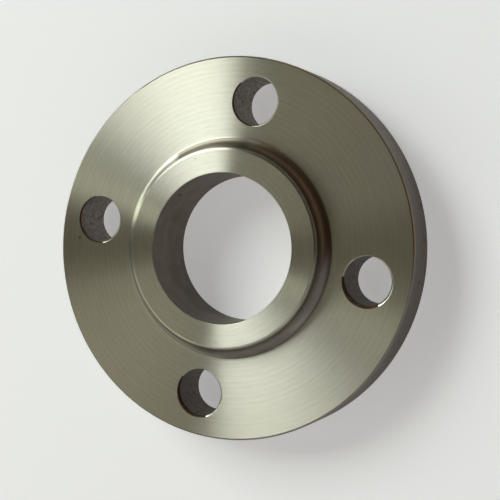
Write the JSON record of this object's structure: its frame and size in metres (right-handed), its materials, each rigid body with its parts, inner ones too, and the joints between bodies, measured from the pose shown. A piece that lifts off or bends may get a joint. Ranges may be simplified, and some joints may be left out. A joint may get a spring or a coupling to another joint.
{
  "type": "slip-on pipe flange",
  "caption": "Round steel slip-on pipe flange: a turned disc with a low filleted hub, a through bore for the pipe, bolt holes on a circle and a raised gasket face on the back.",
  "frame": {"origin": "centre of the raised gasket face, which the flange lies on", "axes": "+Z along the bore, from the gasket face towards the hub; bolt holes straddle the X and Y axes"},
  "size_m": [0.127, 0.127, 0.0236],
  "materials": {
    "steel": "turned faces with fine concentric tool lines, duller rim and bore"
  },
  "bodies": {
    "root": {"flange": "steel"}
  },
  "joints": []
}
